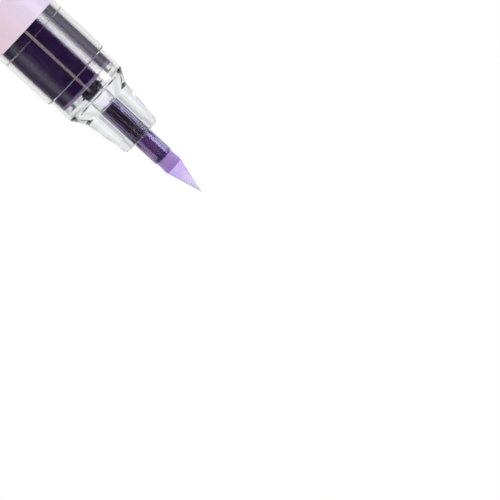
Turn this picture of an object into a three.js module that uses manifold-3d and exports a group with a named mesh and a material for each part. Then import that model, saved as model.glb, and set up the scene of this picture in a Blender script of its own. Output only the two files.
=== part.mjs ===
// Paint marker with a brush nib, a spring valve and a posted cap.
// Millimetres, +Z towards the brush point. The cap's closed end stands on z = 0
// and the cap grips the tail of the marker.
import * as THREE from "three";
import { mergeVertices } from "three/addons/utils/BufferGeometryUtils.js";
import Module from "manifold-3d";

const wasm = await Module();
wasm.setup();

// Facets round one turn, steps along one curve of an outline and round one turn of the coil
const WIDE_FACETS = 40;
const SMALL_FACETS = 32;
const CURVE_STEPS = 6;
const COIL_STEPS = 10;
const MERGE_DISTANCE = 1e-4;

// Clearances between mating pieces
const SEAT_GAP = 0.05;
const SLIDE_GAP = 0.1;
const WALL_FIT = 0.08;
const POST_GAP = 0.3;
const CAP_FIT = 0.125;
const FILM_GLUE = 0.01;

// Barrel and its printed film
const BARREL_RADIUS = 7.0;
const BARREL_WALL = 0.88;
const BARREL_LENGTH = 79.1;
const FILM_THICKNESS = 0.05;
const FILM_FRONT_MARGIN = 1.9;
const FILM_REAR_MARGIN = 2.0;

// Front section: grip, neck that takes the cap, shoulder and tapered nose
const GRIP_LENGTH = 9.95;
const NECK_STEP = 0.525;
const NECK_LENGTH = 4.75;
const SHOULDER_LENGTH = 2.625;
const SHOULDER_BEND_RADIUS = 5.075;
const SHOULDER_BEND_SHARE = 0.76;
const NOSE_REAR_RADIUS = 4.99;
const NOSE_FRONT_RADIUS = 4.0;
const NOSE_LENGTH = 8.225;
const EDGE_BEVEL = 0.16;
const NOSE_EDGE_BEVEL = 0.25;

// Inside of the front section
const SHOULDER_SETBACK = 0.3;
const THROAT_RADIUS = 3.8;
const THROAT_LENGTH = 2.8;
const GUIDE_DEPTH = 2.25;
const GUIDE_RING_WALL = 0.32;

// Nib tube, brush, core and flow plug
const HOLDER_RADIUS = 1.93;
const HOLDER_BORE_RADIUS = 1.55;
const HOLDER_REACH = 5.275;
const RIB_COUNT = 6;
const RIB_WIDTH = 0.32;
const RIB_REAR_SETBACK = 3.0;
const RIB_FRONT_SETBACK = 0.05;
const CORE_RADIUS = 0.83;
const BRUSH_RADIUS = 1.75;
const BRUSH_REACH = 9.275;
const BRUSH_BLOCK_LENGTH = 1.925;
const BRUSH_BELLY_RADIUS = 1.2;
const BRUSH_BELLY_HEIGHT = 4.75;
const BRUSH_STEM_RADIUS = 1.5;
const BRUSH_STEM_LENGTH = 0.5;
const BRUSH_SOCKET_LIFT = 0.3;
const FLOW_PLUG_RADIUS = 1.5;
const FLOW_PLUG_RIM = 0.22;
const FLOW_PLUG_LENGTH = 2.9;
const FLOW_PLUG_END_RADIUS = 0.55;
const FLOW_PIN_RADIUS = 1.05;
const FLOW_PIN_LENGTH = 0.9;

// Valve: stem with side ports, washer, spring and slotted cage
const VALVE_TRAVEL = 1.5;
const STEM_BORE_RADIUS = 1.12;
const PORT_RADIUS = 0.36;
const PORT_SETBACK = 0.5;
const HEAD_RADIUS = 2.7;
const HEAD_THICKNESS = 0.7;
const HEAD_WEB = 0.3;
const SPRING_CONE_RADIUS = 1.2;
const SPRING_CONE_END_RADIUS = 0.2;
const SPRING_CONE_LENGTH = 3.3;
const WASHER_THICKNESS = 0.5;
const WASHER_RADIUS = 2.9;
const SPRING_RADIUS = 2.2;
const SPRING_WIRE_RADIUS = 0.16;
const SPRING_TURNS = 6;
const CAGE_RADIUS = 3.9;
const CAGE_WALL = 0.6;
const CAGE_END_WALL = 0.8;
const CAGE_VENT_RADIUS = 1.0;
const CAGE_SLOT_WIDTH = 2.6;
const CAGE_SLOT_MARGIN = 0.9;
const CAGE_FLANGE_WIDTH = 1.2;
const CAGE_FLANGE_THICKNESS = 0.25;
const PLUG_FLANGE_THICKNESS = 0.4;
const SEAL_WIRE_RADIUS = 0.22;
const SEAL_SIDES = 8;

// Paint tank, its rear plug and the mixing balls
const TANK_WALL = 0.7;
const TANK_FRONT_WALL = 1.0;
const TANK_CORNER_RADIUS = 0.6;
const REAR_PLUG_FLANGE = 1.0;
const REAR_PLUG_LENGTH = 3.6;
const REAR_PLUG_WALL = 1.1;
const BALL_WALL_GAP = 0.34;
const BALL_GAP = 0.4;
const BALL_COUNT = 2;

// Tail plug and cap
const TAIL_LENGTH = 10.8;
const TAIL_WALL = 1.2;
const TAIL_EDGE_RADIUS = 0.6;
const TAIL_STUB_LENGTH = 6.0;
const TAIL_STUB_WALL = 0.9;
const CAP_LENGTH = 33.5;
const CAP_WALL = 1.0;
const CAP_END_TAPER = 0.15;
const CAP_END_WALL = 1.4;
const CAP_EDGE_RADIUS = 0.9;
const CAP_BEAD_HEIGHT = 0.08;
const CAP_BEAD_HALF_LENGTH = 0.6;
const CAP_BEAD_DEPTH = 2.2;
const LINER_FLOOR = 0.8;
const LINER_BORE_RADIUS = 4.45;
const LINER_WALL = 0.75;
const LINER_LIP_BEVEL = 0.3;
const LINER_TAIL_GAP = 0.5;

// Heights in the marker's own frame, which starts at the tail's flat face
const barrelRearZ = TAIL_LENGTH;
const seamZ = barrelRearZ + BARREL_LENGTH;
const gripEndZ = seamZ + GRIP_LENGTH;
const neckEndZ = gripEndZ + NECK_LENGTH;
const shoulderEndZ = neckEndZ + SHOULDER_LENGTH;
const noseFrontZ = shoulderEndZ + NOSE_LENGTH;
const holderFrontZ = noseFrontZ + HOLDER_REACH;
const brushPointZ = holderFrontZ + BRUSH_REACH;

// The stack behind the front section's inner shoulder: plug flange, cage flange, tank
const innerShoulderZ = neckEndZ - SHOULDER_SETBACK;
const plugFlangeFrontZ = innerShoulderZ - SEAT_GAP;
const plugFlangeRearZ = plugFlangeFrontZ - PLUG_FLANGE_THICKNESS;
const cageFlangeFrontZ = plugFlangeRearZ - SEAT_GAP;
const cageFlangeRearZ = cageFlangeFrontZ - CAGE_FLANGE_THICKNESS;
const tankFrontZ = cageFlangeRearZ - SEAT_GAP;
const valveSeatZ = tankFrontZ - TANK_FRONT_WALL;

// The moving nib assembly, from the washer forwards
const washerFrontZ = valveSeatZ - SEAT_GAP;
const washerRearZ = washerFrontZ - WASHER_THICKNESS;
const headFrontZ = washerRearZ - SEAT_GAP;
const headRearZ = headFrontZ - HEAD_THICKNESS;
const springConeEndZ = headRearZ - SPRING_CONE_LENGTH;
const stemFrontZ = plugFlangeFrontZ + SLIDE_GAP;
const holderRearZ = stemFrontZ + SEAT_GAP;
const flowPlugEndZ = holderRearZ + FLOW_PLUG_LENGTH;
const coreRearZ = flowPlugEndZ + SEAT_GAP;
const brushSocketEndZ = holderFrontZ + BRUSH_SOCKET_LIFT;

// The cage is deep enough for the spring cone when the nib is pushed right in
const cageFloorZ = springConeEndZ - VALVE_TRAVEL - POST_GAP;
const cageEndZ = cageFloorZ - CAGE_END_WALL;

// The rear of the tank and the tail
const tailStubEndZ = barrelRearZ + TAIL_STUB_LENGTH;
const rearPlugBackZ = tailStubEndZ + POST_GAP;
const tankRearZ = rearPlugBackZ + REAR_PLUG_FLANGE + SEAT_GAP;
const rearPlugFaceZ = tankRearZ + REAR_PLUG_LENGTH;

// Radii that follow from a mating piece
const barrelBoreRadius = BARREL_RADIUS - BARREL_WALL;
const neckRadius = BARREL_RADIUS - NECK_STEP;
const tankRadius = barrelBoreRadius - WALL_FIT;
const tankBoreRadius = tankRadius - TANK_WALL;
// The balls lie side by side across the tank's bore
const ballRadius = (tankBoreRadius - BALL_WALL_GAP - BALL_GAP / 2) / 2;
const ballLane = ballRadius + BALL_GAP / 2;
const noseBoreRadius = HOLDER_RADIUS + 2 * SLIDE_GAP;
const guideRingBore = HOLDER_RADIUS + SLIDE_GAP;
const guideRingRadius = guideRingBore + GUIDE_RING_WALL;
const guideSeatRadius = guideRingRadius + SEAT_GAP;
const plugBoreRadius = HOLDER_RADIUS + 1.5 * SLIDE_GAP;
const sealCentreRadius = HOLDER_RADIUS + SEAT_GAP + SEAL_WIRE_RADIUS;
const sealGrooveRadius = sealCentreRadius + SEAL_WIRE_RADIUS + SEAT_GAP;
const sealCentreZ = plugFlangeFrontZ - 2.5 * SEAL_WIRE_RADIUS;
const cageBoreRadius = CAGE_RADIUS - CAGE_WALL;
const plugSpigotRadius = cageBoreRadius - SLIDE_GAP;
const tankMouthRadius = CAGE_RADIUS + SLIDE_GAP;
const cageFlangeRadius = tankMouthRadius + CAGE_FLANGE_WIDTH;
const plugFlangeRadius = tankRadius - SLIDE_GAP;
const coreSleeveRadius = CORE_RADIUS + SEAT_GAP;
const capBoreRadius = neckRadius + CAP_FIT;
const capRadius = capBoreRadius + CAP_WALL;
const capEndRadius = capRadius - CAP_END_TAPER;
const postedTailZ = CAP_LENGTH - (TAIL_LENGTH - POST_GAP);

// A solid turned about the Z axis from an outline in radius and height.
// The outline runs up its outer side, and starts and ends on the axis or closes on itself.
function turned(outline, facets) {
  const profile = outline.getPoints(CURVE_STEPS);
  const solid = new THREE.LatheGeometry(profile, facets);
  solid.rotateX(Math.PI / 2);
  return solid;
}

// A plain ring: the tube between two radii and two heights, with an edge bevel outside.
function ring(innerRadius, outerRadius, lowZ, highZ, bevel) {
  const outline = new THREE.Path();
  outline.moveTo(innerRadius, lowZ);
  outline.lineTo(outerRadius - bevel, lowZ);
  outline.lineTo(outerRadius, lowZ + bevel);
  outline.lineTo(outerRadius, highZ - bevel);
  outline.lineTo(outerRadius - bevel, highZ);
  outline.lineTo(innerRadius, highZ);
  outline.lineTo(innerRadius, lowZ);
  return outline;
}

// A closed geometry as a solid that can be cut and joined.
function solidOf(geometry) {
  const bare = geometry.clone();
  bare.deleteAttribute("normal");
  bare.deleteAttribute("uv");
  const merged = mergeVertices(bare, MERGE_DISTANCE);
  const mesh = new wasm.Mesh({
    numProp: 3,
    vertProperties: new Float32Array(merged.attributes.position.array),
    triVerts: new Uint32Array(merged.index.array),
  });
  return new wasm.Manifold(mesh);
}

// The geometry of a cut or joined solid, with flat facets.
function geometryOf(solid) {
  const mesh = solid.getMesh();
  const geometry = new THREE.BufferGeometry();
  geometry.setAttribute("position", new THREE.BufferAttribute(mesh.vertProperties, 3));
  geometry.setIndex(new THREE.BufferAttribute(mesh.triVerts, 1));
  const facets = geometry.toNonIndexed();
  facets.computeVertexNormals();
  return facets;
}

// A named sub-part with its own finish.
function piece(name, geometry, finish) {
  const mesh = new THREE.Mesh(geometry, new THREE.MeshStandardMaterial(finish));
  mesh.name = name;
  return mesh;
}

// Finishes of the real pieces
const CLEAR = { color: "#e4e6e6", roughness: 0.08, metalness: 0, transparent: true, opacity: 0.35 };
const FROSTED = { color: "#d8d6de", roughness: 0.3, metalness: 0, transparent: true, opacity: 0.5 };
const INK_TANK = { color: "#3a2356", roughness: 0.15, metalness: 0 };
const FILM = { color: "#e4d6ee", roughness: 0.35, metalness: 0 };
const DARK_SEAL = { color: "#2a2730", roughness: 0.7, metalness: 0 };
const STEEL = { color: "#b9bcc0", roughness: 0.3, metalness: 1 };
const TUBE = { color: "#8f84c4", roughness: 0.12, metalness: 0, transparent: true, opacity: 0.6 };
const FIBRE = { color: "#4b325f", roughness: 0.9, metalness: 0 };
const BRUSH = { color: "#c8b4f2", roughness: 0.75, metalness: 0 };
const WHITE_PLUG = { color: "#f0eef8", roughness: 0.6, metalness: 0 };
const DARK_STEM = { color: "#3d3550", roughness: 0.35, metalness: 0 };
const TAIL = { color: "#5a3a82", roughness: 0.3, metalness: 0 };
const LINER = { color: "#eceaf0", roughness: 0.4, metalness: 0 };

function barrelShell() {
  const rear = barrelRearZ + SEAT_GAP;
  const front = seamZ - SEAT_GAP;
  const outline = ring(barrelBoreRadius, BARREL_RADIUS, rear, front, SEAT_GAP);
  return piece("barrel_shell", turned(outline, WIDE_FACETS), CLEAR);
}

// The printed film is a thin sleeve glued round the barrel.
function labelSleeve() {
  const inner = BARREL_RADIUS + FILM_GLUE;
  const outline = ring(
    inner,
    inner + FILM_THICKNESS,
    barrelRearZ + FILM_REAR_MARGIN,
    seamZ - FILM_FRONT_MARGIN,
    0,
  );
  return piece("label_sleeve", turned(outline, WIDE_FACETS), FILM);
}

function frontSection() {
  const outline = new THREE.Path();
  // Outside, from the seam to the nose's front face
  outline.moveTo(barrelBoreRadius, seamZ);
  outline.lineTo(BARREL_RADIUS - SEAT_GAP, seamZ);
  outline.lineTo(BARREL_RADIUS, seamZ + SEAT_GAP);
  outline.lineTo(BARREL_RADIUS, gripEndZ - EDGE_BEVEL);
  outline.lineTo(BARREL_RADIUS - EDGE_BEVEL, gripEndZ);
  outline.lineTo(neckRadius, gripEndZ);
  outline.lineTo(neckRadius, neckEndZ);
  outline.quadraticCurveTo(
    SHOULDER_BEND_RADIUS,
    neckEndZ + SHOULDER_BEND_SHARE * SHOULDER_LENGTH,
    NOSE_REAR_RADIUS,
    shoulderEndZ,
  );
  outline.lineTo(NOSE_FRONT_RADIUS, noseFrontZ - NOSE_EDGE_BEVEL);
  outline.lineTo(NOSE_FRONT_RADIUS - NOSE_EDGE_BEVEL, noseFrontZ);
  // Inside, back from the guide ring's seat through the bore and the throat
  outline.lineTo(guideSeatRadius, noseFrontZ);
  outline.lineTo(guideSeatRadius, noseFrontZ - GUIDE_DEPTH);
  outline.lineTo(noseBoreRadius, noseFrontZ - GUIDE_DEPTH);
  outline.lineTo(noseBoreRadius, innerShoulderZ + THROAT_LENGTH);
  outline.lineTo(THROAT_RADIUS, innerShoulderZ);
  outline.lineTo(barrelBoreRadius, innerShoulderZ);
  outline.lineTo(barrelBoreRadius, seamZ);
  return piece("front_section", turned(outline, WIDE_FACETS), CLEAR);
}

function nibGuideRing() {
  const outline = ring(
    guideRingBore,
    guideRingRadius,
    noseFrontZ - GUIDE_DEPTH + SEAT_GAP,
    noseFrontZ - EDGE_BEVEL,
    SEAT_GAP,
  );
  return piece("nib_guide_ring", turned(outline, SMALL_FACETS), FROSTED);
}

// The tank is a tube with a front wall that the cage and the plug pass through.
function paintTank() {
  const outline = new THREE.Path();
  outline.moveTo(tankBoreRadius, tankRearZ);
  outline.lineTo(tankRadius, tankRearZ);
  outline.lineTo(tankRadius, tankFrontZ - EDGE_BEVEL);
  outline.lineTo(tankRadius - EDGE_BEVEL, tankFrontZ);
  outline.lineTo(tankMouthRadius, tankFrontZ);
  outline.lineTo(tankMouthRadius, valveSeatZ);
  outline.lineTo(tankBoreRadius - TANK_CORNER_RADIUS, valveSeatZ);
  outline.quadraticCurveTo(
    tankBoreRadius,
    valveSeatZ,
    tankBoreRadius,
    valveSeatZ - TANK_CORNER_RADIUS,
  );
  outline.lineTo(tankBoreRadius, tankRearZ);
  return piece("paint_tank", turned(outline, WIDE_FACETS), INK_TANK);
}

// The front plug guides the stem, holds its seal ring and ends in the valve seat.
function tankFrontPlug() {
  const grooveLow = sealCentreZ - SEAL_WIRE_RADIUS - SEAT_GAP;
  const grooveHigh = sealCentreZ + SEAL_WIRE_RADIUS + SEAT_GAP;
  const outline = new THREE.Path();
  outline.moveTo(plugBoreRadius, valveSeatZ);
  outline.lineTo(plugSpigotRadius, valveSeatZ);
  outline.lineTo(plugSpigotRadius, plugFlangeRearZ);
  outline.lineTo(plugFlangeRadius, plugFlangeRearZ);
  outline.lineTo(plugFlangeRadius, plugFlangeFrontZ);
  outline.lineTo(plugBoreRadius, plugFlangeFrontZ);
  outline.lineTo(plugBoreRadius, grooveHigh);
  outline.lineTo(sealGrooveRadius, grooveHigh);
  outline.lineTo(sealGrooveRadius, grooveLow);
  outline.lineTo(plugBoreRadius, grooveLow);
  outline.lineTo(plugBoreRadius, valveSeatZ);
  return piece("tank_front_plug", turned(outline, WIDE_FACETS), FROSTED);
}

function stemSealRing() {
  const ringShape = new THREE.TorusGeometry(
    sealCentreRadius,
    SEAL_WIRE_RADIUS,
    SEAL_SIDES,
    SMALL_FACETS,
  );
  const mesh = piece("stem_seal_ring", ringShape, DARK_SEAL);
  mesh.position.z = sealCentreZ;
  return mesh;
}

// A slot with round ends that runs right across the cage.
function cageSlot() {
  const half = CAGE_SLOT_WIDTH / 2;
  const low = cageFloorZ + CAGE_SLOT_MARGIN + half;
  const high = valveSeatZ - CAGE_SLOT_MARGIN - half;
  const shape = new THREE.Shape();
  shape.absarc(0, high, half, 0, Math.PI, false);
  shape.absarc(0, low, half, Math.PI, 2 * Math.PI, false);
  shape.closePath();
  const depth = 2 * cageFlangeRadius;
  const slot = new THREE.ExtrudeGeometry(shape, {
    depth,
    bevelEnabled: false,
    curveSegments: CURVE_STEPS,
  });
  slot.translate(0, 0, -depth / 2);
  slot.rotateX(Math.PI / 2);
  return slot;
}

// The cage holds the spring: a cup with a flange, four side slots and a vent in its floor.
function springCage() {
  const outline = new THREE.Path();
  outline.moveTo(CAGE_VENT_RADIUS, cageEndZ);
  outline.lineTo(CAGE_RADIUS - EDGE_BEVEL, cageEndZ);
  outline.lineTo(CAGE_RADIUS, cageEndZ + EDGE_BEVEL);
  outline.lineTo(CAGE_RADIUS, cageFlangeRearZ);
  outline.lineTo(cageFlangeRadius, cageFlangeRearZ);
  outline.lineTo(cageFlangeRadius, cageFlangeFrontZ);
  outline.lineTo(cageBoreRadius, cageFlangeFrontZ);
  outline.lineTo(cageBoreRadius, cageFloorZ);
  outline.lineTo(CAGE_VENT_RADIUS, cageFloorZ);
  outline.lineTo(CAGE_VENT_RADIUS, cageEndZ);
  const slot = cageSlot();
  const crossSlot = slot.clone().rotateZ(Math.PI / 2);
  const cup = solidOf(turned(outline, SMALL_FACETS));
  const slotted = cup.subtract(solidOf(slot)).subtract(solidOf(crossSlot));
  return piece("spring_cage", geometryOf(slotted), FROSTED);
}

// The centre line of the valve spring, from the cage floor up to the valve head.
class SpringLine extends THREE.Curve {
  constructor(lowZ, highZ) {
    super();
    this.lowZ = lowZ;
    this.highZ = highZ;
  }

  getPoint(share, target = new THREE.Vector3()) {
    const turn = 2 * Math.PI * SPRING_TURNS * share;
    const height = this.lowZ + (this.highZ - this.lowZ) * share;
    return target.set(SPRING_RADIUS * Math.cos(turn), SPRING_RADIUS * Math.sin(turn), height);
  }
}

function valveSpring() {
  const seat = SPRING_WIRE_RADIUS + SLIDE_GAP;
  const line = new SpringLine(cageFloorZ + seat, headRearZ - seat);
  const wire = new THREE.Shape();
  wire.absarc(0, 0, SPRING_WIRE_RADIUS, 0, 2 * Math.PI, false);
  const coil = new THREE.ExtrudeGeometry(wire, {
    steps: COIL_STEPS * SPRING_TURNS,
    curveSegments: CURVE_STEPS / 2,
    extrudePath: line,
  });
  return piece("valve_spring", coil, STEEL);
}

function valveStem() {
  const outline = new THREE.Path();
  outline.moveTo(0, springConeEndZ);
  outline.lineTo(SPRING_CONE_END_RADIUS, springConeEndZ);
  outline.lineTo(SPRING_CONE_RADIUS, headRearZ);
  outline.lineTo(HEAD_RADIUS, headRearZ);
  outline.lineTo(HEAD_RADIUS, headFrontZ);
  outline.lineTo(HOLDER_RADIUS, headFrontZ);
  outline.lineTo(HOLDER_RADIUS, stemFrontZ);
  outline.lineTo(STEM_BORE_RADIUS, stemFrontZ);
  outline.lineTo(STEM_BORE_RADIUS, headFrontZ + HEAD_WEB);
  outline.lineTo(0, headFrontZ + HEAD_WEB);
  // Side ports let the paint in once the stem is pushed past the seat
  const ports = new THREE.CylinderGeometry(
    PORT_RADIUS,
    PORT_RADIUS,
    2 * HEAD_RADIUS,
    WIDE_FACETS / 4,
  );
  ports.translate(0, 0, valveSeatZ + PORT_SETBACK);
  const crossPorts = ports.clone().rotateZ(Math.PI / 2);
  const stem = solidOf(turned(outline, SMALL_FACETS));
  const ported = stem.subtract(solidOf(ports)).subtract(solidOf(crossPorts));
  return piece("valve_stem", geometryOf(ported), DARK_STEM);
}

function valveWasher() {
  const outline = ring(
    HOLDER_RADIUS + SEAT_GAP,
    WASHER_RADIUS,
    washerRearZ,
    washerFrontZ,
    SEAT_GAP,
  );
  return piece("valve_washer", turned(outline, SMALL_FACETS), DARK_SEAL);
}

// The white flow plug narrows in a hollow curve from the stem to the fibre core.
function flowPlug() {
  const outline = new THREE.Path();
  outline.moveTo(0, holderRearZ - FLOW_PIN_LENGTH);
  outline.lineTo(FLOW_PIN_RADIUS, holderRearZ - FLOW_PIN_LENGTH);
  outline.lineTo(FLOW_PIN_RADIUS, holderRearZ);
  outline.lineTo(FLOW_PLUG_RADIUS, holderRearZ);
  outline.lineTo(FLOW_PLUG_RADIUS, holderRearZ + FLOW_PLUG_RIM);
  outline.quadraticCurveTo(
    FLOW_PLUG_END_RADIUS,
    (holderRearZ + flowPlugEndZ) / 2,
    FLOW_PLUG_END_RADIUS,
    flowPlugEndZ - FLOW_PLUG_RIM,
  );
  outline.quadraticCurveTo(FLOW_PLUG_END_RADIUS, flowPlugEndZ, 0, flowPlugEndZ);
  return piece("flow_plug", turned(outline, SMALL_FACETS), WHITE_PLUG);
}

// The nib tube has ribs in its bore, inside the nose, that hold the fibre core on the axis.
function nibHolder() {
  const tube = ring(
    HOLDER_BORE_RADIUS,
    HOLDER_RADIUS,
    holderRearZ,
    holderFrontZ,
    SLIDE_GAP,
  );
  const ribRear = holderRearZ + RIB_REAR_SETBACK;
  const ribFront = noseFrontZ - GUIDE_DEPTH - RIB_FRONT_SETBACK;
  const ribFoot = (HOLDER_BORE_RADIUS + HOLDER_RADIUS) / 2;
  const rib = new THREE.BoxGeometry(
    ribFoot - coreSleeveRadius,
    RIB_WIDTH,
    ribFront - ribRear,
  );
  rib.translate((ribFoot + coreSleeveRadius) / 2, 0, (ribFront + ribRear) / 2);
  let ribbed = solidOf(turned(tube, SMALL_FACETS));
  for (let index = 0; index < RIB_COUNT; index += 1) {
    const turn = (2 * Math.PI * (index + 0.5)) / RIB_COUNT;
    ribbed = ribbed.add(solidOf(rib.clone().rotateZ(turn)));
  }
  return piece("nib_holder", geometryOf(ribbed), TUBE);
}

function nibCore() {
  const length = brushSocketEndZ - SEAT_GAP - coreRearZ;
  const rod = new THREE.CylinderGeometry(CORE_RADIUS, CORE_RADIUS, length, SMALL_FACETS);
  rod.rotateX(Math.PI / 2);
  const mesh = piece("nib_core", rod, FIBRE);
  mesh.position.z = coreRearZ + length / 2;
  return mesh;
}

// The brush: a hollow stem inside the tube, a short block and a full-bellied point.
function brushTip() {
  const blockRearZ = holderFrontZ + SEAT_GAP;
  const outline = new THREE.Path();
  outline.moveTo(0, brushSocketEndZ);
  outline.lineTo(coreSleeveRadius, brushSocketEndZ);
  outline.lineTo(coreSleeveRadius, holderFrontZ - BRUSH_STEM_LENGTH);
  outline.lineTo(BRUSH_STEM_RADIUS, holderFrontZ - BRUSH_STEM_LENGTH);
  outline.lineTo(BRUSH_STEM_RADIUS, blockRearZ);
  outline.lineTo(BRUSH_RADIUS, blockRearZ);
  outline.lineTo(BRUSH_RADIUS, holderFrontZ + BRUSH_BLOCK_LENGTH);
  outline.quadraticCurveTo(
    BRUSH_BELLY_RADIUS,
    brushPointZ - BRUSH_BELLY_HEIGHT,
    0,
    brushPointZ,
  );
  return piece("brush_tip", turned(outline, SMALL_FACETS), BRUSH);
}

function tankRearPlug() {
  const plugRadius = tankBoreRadius - SLIDE_GAP;
  const outline = new THREE.Path();
  outline.moveTo(plugRadius - REAR_PLUG_WALL, rearPlugBackZ);
  outline.lineTo(tankRadius, rearPlugBackZ);
  outline.lineTo(tankRadius, rearPlugBackZ + REAR_PLUG_FLANGE);
  outline.lineTo(plugRadius, rearPlugBackZ + REAR_PLUG_FLANGE);
  outline.lineTo(plugRadius, rearPlugFaceZ - EDGE_BEVEL);
  outline.lineTo(plugRadius - EDGE_BEVEL, rearPlugFaceZ);
  outline.lineTo(0, rearPlugFaceZ);
  outline.lineTo(0, rearPlugFaceZ - REAR_PLUG_WALL);
  outline.lineTo(plugRadius - REAR_PLUG_WALL, rearPlugFaceZ - REAR_PLUG_WALL);
  outline.lineTo(plugRadius - REAR_PLUG_WALL, rearPlugBackZ);
  return piece("tank_rear_plug", turned(openAtAxis(outline), WIDE_FACETS), FROSTED);
}

// A cup outline that closes on itself is opened along the axis: the run between its two
// points on the axis is dropped, so that it starts and ends there.
function openAtAxis(outline) {
  const points = outline.getPoints(CURVE_STEPS);
  const last = points.findIndex((point) => point.x === 0);
  const opened = new THREE.Path();
  const order = points.slice(last + 1, -1).concat(points.slice(0, last + 1));
  opened.setFromPoints(order);
  return opened;
}

// The tail plug closes the barrel. Its bare spigot takes the posted cap.
function tailPlug() {
  const stubRadius = barrelBoreRadius - WALL_FIT;
  const hollowRadius = stubRadius - TAIL_STUB_WALL;
  const outline = new THREE.Path();
  outline.moveTo(0, 0);
  outline.lineTo(neckRadius - TAIL_EDGE_RADIUS, 0);
  outline.quadraticCurveTo(neckRadius, 0, neckRadius, TAIL_EDGE_RADIUS);
  outline.lineTo(neckRadius, barrelRearZ);
  outline.lineTo(stubRadius, barrelRearZ);
  outline.lineTo(stubRadius, tailStubEndZ);
  outline.lineTo(hollowRadius, tailStubEndZ);
  outline.lineTo(hollowRadius, TAIL_WALL);
  outline.lineTo(0, TAIL_WALL);
  return piece("tail_plug", turned(outline, WIDE_FACETS), TAIL);
}

function mixingBall(index) {
  const ball = new THREE.SphereGeometry(ballRadius, SMALL_FACETS / 2, SMALL_FACETS / 4);
  ball.rotateX(Math.PI / 2);
  const mesh = piece(`mixing_ball_${index + 1}`, ball, STEEL);
  const turn = (2 * Math.PI * index) / BALL_COUNT;
  const restZ = rearPlugFaceZ + SEAT_GAP + ballRadius;
  mesh.position.set(ballLane * Math.cos(turn), ballLane * Math.sin(turn), restZ);
  return mesh;
}

function capShell() {
  const beadZ = CAP_LENGTH - CAP_BEAD_DEPTH;
  const outline = new THREE.Path();
  outline.moveTo(0, 0);
  outline.lineTo(capEndRadius - CAP_EDGE_RADIUS, 0);
  outline.quadraticCurveTo(capEndRadius, 0, capEndRadius, CAP_EDGE_RADIUS);
  outline.lineTo(capRadius, CAP_LENGTH - EDGE_BEVEL);
  outline.lineTo(capRadius - EDGE_BEVEL, CAP_LENGTH);
  outline.lineTo(capBoreRadius + EDGE_BEVEL, CAP_LENGTH);
  outline.lineTo(capBoreRadius, CAP_LENGTH - EDGE_BEVEL);
  outline.lineTo(capBoreRadius, beadZ + CAP_BEAD_HALF_LENGTH);
  outline.lineTo(capBoreRadius - CAP_BEAD_HEIGHT, beadZ);
  outline.lineTo(capBoreRadius, beadZ - CAP_BEAD_HALF_LENGTH);
  outline.lineTo(capBoreRadius, CAP_END_WALL);
  outline.lineTo(0, CAP_END_WALL);
  return piece("cap_shell", turned(outline, WIDE_FACETS), TAIL);
}

// The liner is an inner cup whose lip seals on the tapered nose when the cap is on.
function capLiner() {
  const floorZ = CAP_END_WALL + SEAT_GAP;
  const lipZ = postedTailZ - LINER_TAIL_GAP;
  const outerRadius = LINER_BORE_RADIUS + LINER_WALL;
  const outline = new THREE.Path();
  outline.moveTo(0, floorZ);
  outline.lineTo(capBoreRadius - SLIDE_GAP, floorZ);
  outline.lineTo(capBoreRadius - SLIDE_GAP, floorZ + LINER_FLOOR);
  outline.lineTo(outerRadius, floorZ + LINER_FLOOR);
  outline.lineTo(outerRadius, lipZ - LINER_LIP_BEVEL);
  outline.lineTo(outerRadius - LINER_LIP_BEVEL, lipZ);
  outline.lineTo(LINER_BORE_RADIUS, lipZ - LINER_LIP_BEVEL);
  outline.lineTo(LINER_BORE_RADIUS, floorZ + LINER_FLOOR);
  outline.lineTo(0, floorZ + LINER_FLOOR);
  return piece("cap_liner", turned(outline, WIDE_FACETS), LINER);
}

const barrel = new THREE.Group();
barrel.add(barrelShell(), labelSleeve(), frontSection(), nibGuideRing());
barrel.add(paintTank(), tankFrontPlug(), stemSealRing(), springCage(), valveSpring());
barrel.add(tankRearPlug(), tailPlug());

const nib = new THREE.Group();
nib.add(valveStem(), valveWasher(), flowPlug(), nibHolder(), nibCore(), brushTip());

const balls = new THREE.Group();
for (let index = 0; index < BALL_COUNT; index += 1) {
  balls.add(mixingBall(index));
}

const marker = new THREE.Group();
marker.add(barrel, nib, balls);
marker.position.z = postedTailZ;

const cap = new THREE.Group();
cap.add(capShell(), capLiner());

const paintMarker = new THREE.Group();
paintMarker.add(marker, cap);

export default paintMarker;
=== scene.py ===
import math
import random

import bmesh
import bpy
from bpy.props import FloatProperty, FloatVectorProperty, IntProperty, PointerProperty
from mathutils import Matrix, Vector


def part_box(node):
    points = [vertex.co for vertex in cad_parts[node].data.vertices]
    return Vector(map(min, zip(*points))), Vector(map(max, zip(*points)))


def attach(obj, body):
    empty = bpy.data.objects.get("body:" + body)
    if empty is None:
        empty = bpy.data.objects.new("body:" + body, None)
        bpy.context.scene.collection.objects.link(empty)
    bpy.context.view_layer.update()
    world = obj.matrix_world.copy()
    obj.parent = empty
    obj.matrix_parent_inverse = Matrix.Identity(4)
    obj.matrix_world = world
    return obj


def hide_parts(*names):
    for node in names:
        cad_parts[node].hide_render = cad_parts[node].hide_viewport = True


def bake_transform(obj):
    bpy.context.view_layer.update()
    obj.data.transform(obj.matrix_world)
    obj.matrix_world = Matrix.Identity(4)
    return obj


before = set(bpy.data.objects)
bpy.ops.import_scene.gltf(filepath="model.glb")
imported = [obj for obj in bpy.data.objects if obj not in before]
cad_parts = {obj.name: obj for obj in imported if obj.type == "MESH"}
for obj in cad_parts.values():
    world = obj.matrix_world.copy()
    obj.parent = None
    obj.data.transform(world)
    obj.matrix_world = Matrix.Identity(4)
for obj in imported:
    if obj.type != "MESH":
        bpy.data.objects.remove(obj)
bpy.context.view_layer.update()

bl_info = {
    "name": "Paint marker",
    "version": (1, 0, 0),
    "blender": (4, 5, 0),
    "location": "3D View > Sidebar > Paint marker",
    "description": "Dresses a brush-nib paint marker: clear shells, paint, label, brush and cap",
    "category": "Object",
}

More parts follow.
